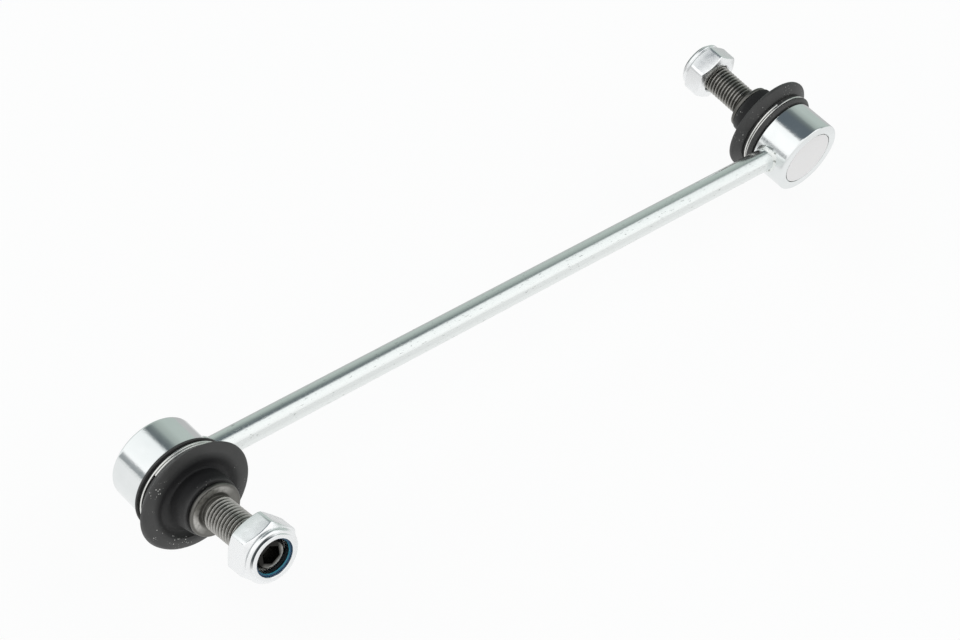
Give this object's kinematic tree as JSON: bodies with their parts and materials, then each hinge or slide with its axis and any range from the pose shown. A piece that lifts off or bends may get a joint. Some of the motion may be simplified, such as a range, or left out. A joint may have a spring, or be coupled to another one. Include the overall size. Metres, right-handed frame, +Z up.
{
  "type": "stabilizer link",
  "caption": "Vehicle stabilizer link: a steel rod with a sealed ball joint at each end, whose threaded studs bolt the anti-roll bar to the suspension.",
  "frame": {"origin": "middle of the rod, on its axis, which is within 2 mm of the centroid", "axes": "+X along the rod from the lower end to the upper end; the lower stud points along -Y and the upper stud along +Y; +Z up"},
  "size_m": [0.3404, 0.1133, 0.0415],
  "materials": {
    "zinc_plate": "bright satin zinc plating on steel",
    "bright_zinc": "bright zinc plating on the nuts",
    "weld_metal": "plated weld metal, slightly rough",
    "phosphated_steel": "dark phosphated and oiled steel",
    "spring_steel": "bare spring wire",
    "black_rubber": "matte black moulded rubber",
    "seat_plastic": "off-white bearing plastic",
    "blue_nylon": "dark blue nylon"
  },
  "bodies": {
    "link": {"rod": "zinc_plate", "lower_housing": "zinc_plate", "lower_end_cover": "zinc_plate", "lower_ball_seat": "seat_plastic", "lower_weld_bead": "weld_metal", "upper_housing": "zinc_plate", "upper_end_cover": "zinc_plate", "upper_ball_seat": "seat_plastic", "upper_weld_bead": "weld_metal"},
    "lower_boot": {"lower_dust_boot": "black_rubber", "lower_clamp_ring": "spring_steel"},
    "lower_bush": {"lower_neck_bush": "seat_plastic"},
    "lower_stud": {"lower_ball_stud": "phosphated_steel"},
    "lower_insert": {"lower_nylon_insert": "blue_nylon"},
    "lower_nut": {"lower_lock_nut": "bright_zinc"},
    "upper_boot": {"upper_dust_boot": "black_rubber", "upper_clamp_ring": "spring_steel"},
    "upper_bush": {"upper_neck_bush": "seat_plastic"},
    "upper_stud": {"upper_ball_stud": "phosphated_steel"},
    "upper_insert": {"upper_nylon_insert": "blue_nylon"},
    "upper_nut": {"upper_lock_nut": "bright_zinc"}
  },
  "joints": [
    {"name": "lower_boot_turn", "type": "hinge", "parent": "link", "child": "lower_boot", "pos_m": [-0.15, -0.001, 0], "axis": [0, -1, 0], "continuous": true},
    {"name": "lower_stud_swing", "type": "hinge", "parent": "lower_boot", "child": "lower_bush", "pos_m": [-0.15, -0.001, 0], "axis": [-1, 0, 0], "range_deg": [-33.7, 16.3], "deforming": ["lower_dust_boot"]},
    {"name": "lower_stud_spin", "type": "hinge", "parent": "lower_bush", "child": "lower_stud", "pos_m": [-0.15, -0.001, 0], "axis": [0, -0.9885, 0.1513], "continuous": true},
    {"name": "lower_nut_travel", "type": "slide", "parent": "lower_stud", "child": "lower_insert", "axis": [0, -0.9885, 0.1513], "range_m": [-0.01912, 0.009]},
    {"name": "lower_nut_turn", "type": "hinge", "parent": "lower_insert", "child": "lower_nut", "pos_m": [-0.15, -0.001, 0], "axis": [0, -0.9885, 0.1513], "range_deg": [-4590.5, 2160.5]},
    {"name": "upper_boot_turn", "type": "hinge", "parent": "link", "child": "upper_boot", "pos_m": [0.15, 0.00099, 0.00016], "axis": [0, 0.9877, 0.1564], "continuous": true},
    {"name": "upper_stud_swing", "type": "hinge", "parent": "upper_boot", "child": "upper_bush", "pos_m": [0.15, 0.00099, 0.00016], "axis": [1, 0, 0], "range_deg": [-26.8, 23.2], "deforming": ["upper_dust_boot"]},
    {"name": "upper_stud_spin", "type": "hinge", "parent": "upper_bush", "child": "upper_stud", "pos_m": [0.15, 0.00099, 0.00016], "axis": [0, 0.9823, 0.1874], "continuous": true},
    {"name": "upper_nut_travel", "type": "slide", "parent": "upper_stud", "child": "upper_insert", "axis": [0, 0.9823, 0.1874], "range_m": [-0.01755, 0.0105]},
    {"name": "upper_nut_turn", "type": "hinge", "parent": "upper_insert", "child": "upper_nut", "pos_m": [0.15, 0.00099, 0.00016], "axis": [0, 0.9823, 0.1874], "range_deg": [-4212.5, 2520.5]}
  ],
  "couplings": [
    {"joint": "lower_nut_turn", "follows": "lower_nut_travel", "rad_per_m": 4188.8},
    {"joint": "upper_nut_turn", "follows": "upper_nut_travel", "rad_per_m": 4188.8}
  ]
}
